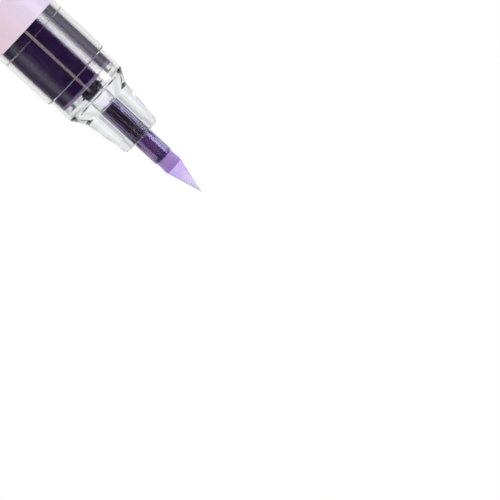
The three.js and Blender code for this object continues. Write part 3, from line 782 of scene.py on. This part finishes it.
class MARKER_OT_clear_shells(bpy.types.Operator):
    """Turns the clear barrel, front section and tank"""

    bl_idname = "marker.clear_shells"
    bl_label = "Add clear shells"

    def execute(self, context):
        steps, edge = sizes().round_steps, sizes().clear_edge
        for name, node, look in (
            ("clear_barrel", "barrel_shell", "clear_shell"),
            ("clear_front", "front_section", "clear_nose"),
        ):
            turned_piece(name, node, "barrel", look, steps, edge)
        slot, replaced = "paint_filled_tank", ["paint_tank"]
        tank = add_piece(threaded_tank(), "clear_tank", "barrel", "clear_wall", replaced)
        wet_joint(tank, high("paint_tank"))
        return {"FINISHED"}


def threaded_tank():
    """The tank, turned from its outline, with a fine shallow thread round its front."""
    size = sizes()
    radius = reach("paint_tank")
    top = high("paint_tank") - size.thread_start
    base = top - size.thread_pitch * size.thread_turns
    rows = size.thread_turns * THREAD_ROWS
    bm = section_of("paint_tank")
    add_rings(bm, radius, [base + (top - base) * row / rows for row in range(rows + 1)])
    round_corners(bm, size.clear_edge)
    spin_full(bm, size.round_steps)
    for vert in bm.verts:
        if vert.co.xy.length < radius - MERGE or not base < vert.co.z < top:
            continue
        turn = math.atan2(vert.co.y, vert.co.x) / FULL_TURN
        rise = (vert.co.z - base) / size.thread_pitch
        crest = abs((rise - turn) % 1.0 - 0.5) / THREAD_WIDTH
        fade = min(1.0, rise, (top - vert.co.z) / size.thread_pitch)
        lift = size.thread_height * fade * max(0.0, 1 - crest * crest)
        vert.co.xy *= (radius + lift) / radius
    return bm


def wet_joint(piece, height):
    """Shows the flat faces at a height as a joint wetted through, without a mirror of air."""
    piece.data.materials.append(finish("wetted_clear"))
    for face in piece.data.polygons:
        if abs(face.center.z - height) < JOINT_DEPTH and abs(face.normal.z) > FLAT:
            face.material_index = 1


class MARKER_OT_label(bpy.types.Operator):
    """Wraps the printed film round the barrel"""

    bl_idname = "marker.label"
    bl_label = "Add printed label"

    def execute(self, context):
        steps = sizes().round_steps
        turned_piece("printed_label", "label_sleeve", "barrel", "label_film", steps)
        return {"FINISHED"}


class MARKER_OT_paint(bpy.types.Operator):
    """Fills the tank with paint, from the rear plug to the front wall"""

    bl_idname = "marker.paint"
    bl_label = "Add paint"

    def execute(self, context):
        bm = paint_outline()
        hold_flats(bm)
        spin_full(bm, sizes().round_steps)
        add_piece(bm, "paint_fill", "barrel", "wet_paint")
        return {"FINISHED"}


def paint_outline():
    """The paint's outline: it wets the tank's wall slightly and leaves a pocket for the stem."""
    wet = sizes().paint_overlap
    seat = low("tank_front_plug")
    floor = high("tank_rear_plug")
    tank = section_of("paint_tank")
    bore = min(v.co.x for v in tank.verts if v.co.z < floor)
    opening = min(v.co.x for v in tank.verts)
    points = [v.co.xz for v in tank.verts if floor < v.co.z < seat + MERGE]
    tank.free()
    wall = [p for p in points if opening + MERGE < p.x < bore + MERGE]
    wall.sort(key=lambda p: (p.y, -p.x))
    path = [(0.0, floor), (bore + wet, floor)]
    path += [(p.x + wet, p.y + wet) for p in wall]
    pocket = reach("valve_stem") * POCKET_ROOM
    path += [(pocket, seat + wet), (pocket, seat - POCKET_DEPTH), (0.0, seat - POCKET_DEPTH)]
    bm = bmesh.new()
    chain = [bm.verts.new((x, 0.0, z)) for x, z in path]
    for first, second in zip(chain, chain[1:]):
        bm.edges.new((first, second))
    return bm


class MARKER_OT_front_parts(bpy.types.Operator):
    """Makes the guide ring, the plugs of the tank, the seals, the valve and the spring's cage"""

    bl_idname = "marker.front_parts"
    bl_label = "Add front and inner parts"

    def execute(self, context):
        fine, clear, opaque = sizes().fine_steps, sizes().clear_edge, sizes().edge_round
        for name, node, body, look, slot, edge in (
            ("guide_ring", "nib_guide_ring", "barrel", "wetted_clear", "frosted_plastic", clear),
            ("tank_plug", "tank_front_plug", "barrel", "wetted_clear", "frosted_plastic", clear),
            ("rear_plug", "tank_rear_plug", "barrel", "satin_clear", "frosted_plastic", opaque),
            ("seal_ring", "stem_seal_ring", "barrel", "wetted_clear", "seal_rubber", clear),
            ("washer", "valve_washer", "nib", "black_rubber", "seal_rubber", opaque),
        ):
            turned_piece(name, node, body, look, fine, edge)
        look, slot = "dark_stem_plastic", "dark_plastic"
        turned_piece("valve_body", "valve_stem", "nib", look, fine, angle=STEM_SIDE)
        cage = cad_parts["spring_cage"].data
        cage.materials.clear()
        cage.materials.append(finish("wetted_clear"))
        add_spring()
        return {"FINISHED"}


def add_spring():
    """The valve spring: a smooth steel copy of the CAD spring, on no body, with its placing baked
    into its mesh.
    """
    bm = cad_mesh("valve_spring")
    bmesh.ops.remove_doubles(bm, verts=bm.verts, dist=MERGE)
    bmesh.ops.recalc_face_normals(bm, faces=bm.faces)
    spring = add_piece(bm, "coil_spring", None, "polished_steel", ["valve_spring"])
    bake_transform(spring)


class MARKER_OT_nib(bpy.types.Operator):
    """Makes the nib tube with its ribs, the fibre core and the white flow plug"""

    bl_idname = "marker.nib"
    bl_label = "Add nib tube and core"

    def execute(self, context):
        fine, white, clear = sizes().fine_steps, "white_porous_plastic", "tinted_clear_plastic"
        add_piece(wide_plug(), "white_plug", "nib", "sintered_white", ["flow_plug"])
        turned_piece("fibre_rod", "nib_core", "nib", "core_fibre", fine)
        add_piece(ribbed_tube(), "nib_tube", "nib", "stained_tube", ["nib_holder"])
        return {"FINISHED"}


def wide_plug():
    """The flow plug, turned from its outline, filling the thin rear of the tube."""
    bm = section_of("flow_plug")
    radius = reach("flow_plug")
    for vert in bm.verts:
        if vert.co.z > low("nib_holder") - MERGE and vert.co.x > 0.5 * radius:
            vert.co.x *= sizes().plug_radius / radius
    round_corners(bm, RIB_SLOPE)
    spin_full(bm, sizes().fine_steps)
    return bm


def ribbed_tube():
    """The nib tube: thin round the flow plug, and with its bore pushed in where the ribs stand."""
    solid = cad_mesh("nib_holder")
    points = [(v.co.xy.length, v.co.z) for v in solid.verts]
    solid.free()
    crest = min(radius for radius, _ in points)
    heights = [z for radius, z in points if radius < crest + RIB_BAND]
    rib_low, rib_high = min(heights), max(heights)
    seat = high("flow_plug") + RIB_SLOPE
    bm = section_of("nib_holder")
    bore = min(v.co.x for v in bm.verts)
    rings = {seat, seat + RIB_SLOPE, rib_low - RIB_SLOPE, rib_low, rib_high, rib_high + RIB_SLOPE}
    add_rings(bm, bore, rings)
    for vert in bm.verts:
        if vert.co.x < bore + MERGE and vert.co.z < seat + MERGE:
            vert.co.x = sizes().plug_radius + RIB_SLOPE
    round_corners(bm, 2 * sizes().clear_edge)
    spin_full(bm, TUBE_STEPS)
    for vert in bm.verts:
        lined = rib_low - MERGE < vert.co.z < rib_high + MERGE
        sector = (math.atan2(vert.co.y, vert.co.x) * RIB_COUNT / FULL_TURN - 0.5) % 1.0
        if lined and vert.co.xy.length < bore + MERGE and min(sector, 1 - sector) < RIB_WIDTH:
            vert.co.xy *= crest / bore
    return bm


class MARKER_OT_brush(bpy.types.Operator):
    """Makes the brush: a soft body under a coat of fine bristles that close to a point"""

    bl_idname = "marker.brush"
    bl_label = "Add brush"

    def execute(self, context):
        root, point = high("nib_holder"), high("brush_tip")
        bm = section_of("brush_tip")
        for vert in bm.verts:
            if vert.co.z > root:
                vert.co.x += swell_at((vert.co.z - root) / (point - root))
        belly = sorted((v.co.z, v.co.x) for v in bm.verts if v.co.z > root)
        round_corners(bm, BRUSH_EDGE)
        for vert in bm.verts:
            if vert.co.z > root:
                vert.co.x = max(vert.co.x - BRUSH_SINK * sizes().bristle_radius, 0.0)
        spin_full(bm, sizes().fine_steps)
        add_bristles(bm, [(z, radius) for z, radius in belly if radius > 0 or z > point - MERGE])
        add_piece(bm, "soft_brush", "nib", "soft_bristle", ["brush_tip"])
        return {"FINISHED"}


def swell_at(share):
    """How much a wet brush swells at a share of its length, most halfway to its point."""
    return 4 * share * (1 - share) * sizes().brush_swell


def radius_at(belly, height):
    """The belly's radius at a height, from its outline."""
    for (z0, r0), (z1, r1) in zip(belly, belly[1:]):
        if z0 <= height <= z1 and z1 > z0:
            return r0 + (r1 - r0) * (height - z0) / (z1 - z0)
    return 0.0


def add_bristles(bm, belly):
    """Adds fine tapering bristles that follow the belly, each with its own lean and length."""
    size = sizes()
    chance = random.Random(7)
    widest = max(radius for _, radius in belly)
    root = min(z for z, radius in belly if radius > widest - MERGE)
    point = belly[-1][0]
    for index in range(size.bristle_count):
        stray = chance.uniform(-BRISTLE_STRAY, BRISTLE_STRAY)
        turn = FULL_TURN * (index + stray) / size.bristle_count
        lean = chance.uniform(-BRISTLE_LEAN, BRISTLE_LEAN)
        length = point - chance.random() ** 2 * BRISTLE_SPREAD - root
        known = set(bm.verts)
        circle = bmesh.ops.create_circle(bm, cap_ends=True, segments=BRISTLE_SIDES, radius=1.0)
        loop = [edge for edge in bm.edges if all(v in circle["verts"] for v in edge.verts)]
        bmesh.ops.spin(
            bm, geom=loop, cent=(0, 0, 0), axis=(0, 0, 1), angle=0.0,
            dvec=(0, 0, 1.0 / size.bristle_steps), steps=size.bristle_steps,
            use_merge=False, use_duplicate=False,
        )
        for vert in set(bm.verts) - known:
            share = vert.co.z
            height = root + length * share
            outer = radius_at(belly, height)
            thick = size.bristle_radius * (BRISTLE_FINE + (1 - BRISTLE_FINE) * outer / widest)
            thick *= 1 - BRISTLE_TAPER * share**3
            middle = max(outer - BRISTLE_SET * thick, 0.0)
            place = turn + lean * share
            offset = vert.co.xy * thick
            vert.co.x = middle * math.cos(place) + offset.x
            vert.co.y = middle * math.sin(place) + offset.y
            vert.co.z = height
    bmesh.ops.recalc_face_normals(bm, faces=bm.faces)


class MARKER_OT_balls(bpy.types.Operator):
    """Makes the two steel mixing balls"""

    bl_idname = "marker.balls"
    bl_label = "Add mixing balls"

    def execute(self, context):
        for index in (1, 2):
            node = f"mixing_ball_{index}"
            below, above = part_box(node)
            bm = bmesh.new()
            radius = (above.z - below.z) / 2
            bmesh.ops.create_uvsphere(bm, u_segments=48, v_segments=24, radius=radius)
            bmesh.ops.translate(bm, verts=bm.verts, vec=(below + above) / 2)
            name = f"steel_ball_{index}"
            add_piece(bm, name, f"ball_{index}", "polished_steel", [node])
        return {"FINISHED"}


class MARKER_OT_cap_and_tail(bpy.types.Operator):
    """Turns the tail plug, the cap and its liner"""

    bl_idname = "marker.cap_and_tail"
    bl_label = "Add cap and tail"

    def execute(self, context):
        for name, node, body, look, slot in (
            ("tail_piece", "tail_plug", "barrel", "cap_plastic", "ink_coloured_plastic"),
            ("cap_outer", "cap_shell", "cap", "cap_plastic", "ink_coloured_plastic"),
            ("cap_inner", "cap_liner", "cap", "liner_moulding", "liner_plastic"),
        ):
            turned_piece(name, node, body, look, sizes().round_steps)
        return {"FINISHED"}


# Stage: a wall is where its light starts and is full, and its level before and after

FLOOR_HALF = 1.2
REAR_WALL = (0.56, 0.8, 0.01, 0.87)
LEFT_WALL = (-0.9, -0.97, 0.0, 0.65)
LEFT_WALL_FRONT = (0.0, 0.1, 0.2, 1.0)
LEFT_SIDE = (-0.7, -0.9, 0.0, 0.15)
RIGHT_SIDE = (0.7, 0.9, 0.0, 0.06)
CEILING = (0.14, 0.24, 0.0, 0.75)
GROUND = (0.0, -0.05, 0.0, 0.6)
DARK_FRONT = (-0.75, -0.35)
AMBIENT = 0.84
SIDE_LEAN = 0.08  # how much brighter the right side of the room is than its middle
MID_HEIGHT = 0.125
WARM = (1.0, 0.82, 0.7)
LAMPS = (  # name, azimuth, spread, distance, length, radiance, colour, height
    ("key_strip", -64, 26, 0.6, 0.26, 2.9, WHITE, 0.16),
    ("key_front", -64, 24, 0.59, 0.12, 1.5, WHITE, 0.216),
    ("side_strip", 80, 24, 0.7, 0.4, 0.2, WHITE, 0.16),
    ("front_strip", 6.3, 9.2, 0.5, 0.15, 1.05, WARM, 0.082),
    ("top_box", -30, 40, 0.9, 0.5, 0.8, WHITE, 1.0),
)


class MARKER_OT_stage(bpy.types.Operator):
    """Sets the floor, the soft lights and the camera"""

    bl_idname = "marker.stage"
    bl_label = "Set the stage"

    def execute(self, context):
        bm = bmesh.new()
        bmesh.ops.create_grid(bm, x_segments=1, y_segments=1, size=FLOOR_HALF)
        floor = new_object(bm, "floor", finish("pale_floor"))
        light_world(context.scene)
        for lamp in LAMPS:
            add_lamp(*lamp)
        add_camera(context.scene)
        context.scene.view_settings.view_transform = "Standard"
        return {"FINISHED"}


def light_world(scene):
    """White to the eye and through clear plastic, with a dim room for the gloss to reflect."""
    world = bpy.data.worlds.new("studio")
    world.use_nodes = True
    scene.world = world
    graph = Graph(world.node_tree)
    direction = graph.node("ShaderNodeTexCoord").outputs["Generated"]
    side, depth, height = graph.axes(direction)
    left = graph.times(graph.fade(side, *LEFT_WALL), graph.fade(depth, *LEFT_WALL_FRONT))
    sides = graph.most(left, graph.fade(side, *LEFT_SIDE), graph.fade(side, *RIGHT_SIDE))
    ends = graph.most(graph.fade(height, *CEILING), graph.fade(height, *GROUND))
    ends = graph.times(ends, graph.fade(depth, *DARK_FRONT))
    room = graph.most(graph.fade(depth, *REAR_WALL), sides, ends)
    path = graph.node("ShaderNodeLightPath").outputs
    unreflected = graph.math("LESS_THAN", path["Glossy Depth"], 0.5)
    through = graph.times(path["Is Transmission Ray"], unreflected)
    seen = graph.most(path["Is Camera Ray"], through)
    ambient = graph.plus(AMBIENT, graph.times(side, SIDE_LEAN))
    soft = graph.times(path["Is Diffuse Ray"], ambient)
    mirrored = graph.times(graph.minus(1.0, path["Is Diffuse Ray"]), room)
    background = world.node_tree.nodes["Background"].inputs
    graph.feed(background["Color"], WHITE)
    graph.feed(background["Strength"], graph.most(seen, soft, mirrored))


def add_lamp(name, azimuth, spread, distance, length, radiance, colour, height):
    """A soft box that fills a spread of azimuth: 0 is towards the camera, positive to its right."""
    width = 2 * distance * math.tan(math.radians(spread / 2))
    data = bpy.data.lights.new(name, "AREA")
    data.shape = "RECTANGLE"
    data.size = width
    data.size_y = length
    data.energy = radiance * math.pi * width * length
    data.color = colour
    lamp = bpy.data.objects.new(name, data)
    angle = math.radians(azimuth)
    place = Vector((math.sin(angle) * distance, -math.cos(angle) * distance, height))
    lamp.location = place
    aim = Vector((0, 0, MID_HEIGHT)) - place
    lamp.rotation_euler = aim.to_track_quat("-Z", "Y").to_euler()
    bpy.context.scene.collection.objects.link(lamp)


def add_camera(scene):
    """A long lens, level with the barrel, turned so that the point is at the lower right."""
    view = scene.marker_stage
    data = bpy.data.cameras.new("camera")
    data.lens = view.lens
    data.sensor_width = 36.0
    data.clip_start = 0.02
    data.clip_end = 20.0
    camera = bpy.data.objects.new("camera", data)
    place = Vector((view.aim_side, -view.camera_distance, view.camera_height))
    aim = Vector((view.aim_side, 0.0, view.aim_height))
    facing = (aim - place).to_track_quat("-Z", "Y").to_matrix()
    rolled = facing @ Matrix.Rotation(view.camera_roll, 3, "Z")
    camera.matrix_world = Matrix.Translation(place) @ rolled.to_4x4()
    scene.collection.objects.link(camera)
    scene.camera = camera


# Sidebar and run

STEPS = (
    MARKER_OT_effects,
    MARKER_OT_clear_shells,
    MARKER_OT_label,
    MARKER_OT_paint,
    MARKER_OT_front_parts,
    MARKER_OT_nib,
    MARKER_OT_brush,
    MARKER_OT_balls,
    MARKER_OT_cap_and_tail,
    MARKER_OT_stage,
)


class MARKER_PT_sidebar(bpy.types.Panel):
    """Buttons that build the marker, in order"""

    bl_idname = "MARKER_PT_sidebar"
    bl_label = "Paint marker"
    bl_space_type = "VIEW_3D"
    bl_region_type = "UI"
    bl_category = "Paint marker"

    def draw(self, context):
        for operator in STEPS:
            self.layout.operator(operator.bl_idname)


CLASSES = (MarkerSizes, MarkerColours, MarkerStage, *STEPS, MARKER_PT_sidebar)


def register():
    for item in CLASSES:
        bpy.utils.register_class(item)
    bpy.types.Scene.marker_sizes = PointerProperty(type=MarkerSizes)
    bpy.types.Scene.marker_colours = PointerProperty(type=MarkerColours)
    bpy.types.Scene.marker_stage = PointerProperty(type=MarkerStage)


def unregister():
    del bpy.types.Scene.marker_stage
    del bpy.types.Scene.marker_colours
    del bpy.types.Scene.marker_sizes
    for item in reversed(CLASSES):
        bpy.utils.unregister_class(item)


def main():
    register()
    bpy.ops.marker.effects()
    bpy.ops.marker.clear_shells()
    bpy.ops.marker.label()
    bpy.ops.marker.paint()
    bpy.ops.marker.front_parts()
    bpy.ops.marker.nib()
    bpy.ops.marker.brush()
    bpy.ops.marker.balls()
    bpy.ops.marker.cap_and_tail()
    bpy.ops.marker.stage()


if __name__ == "__main__":
    main()
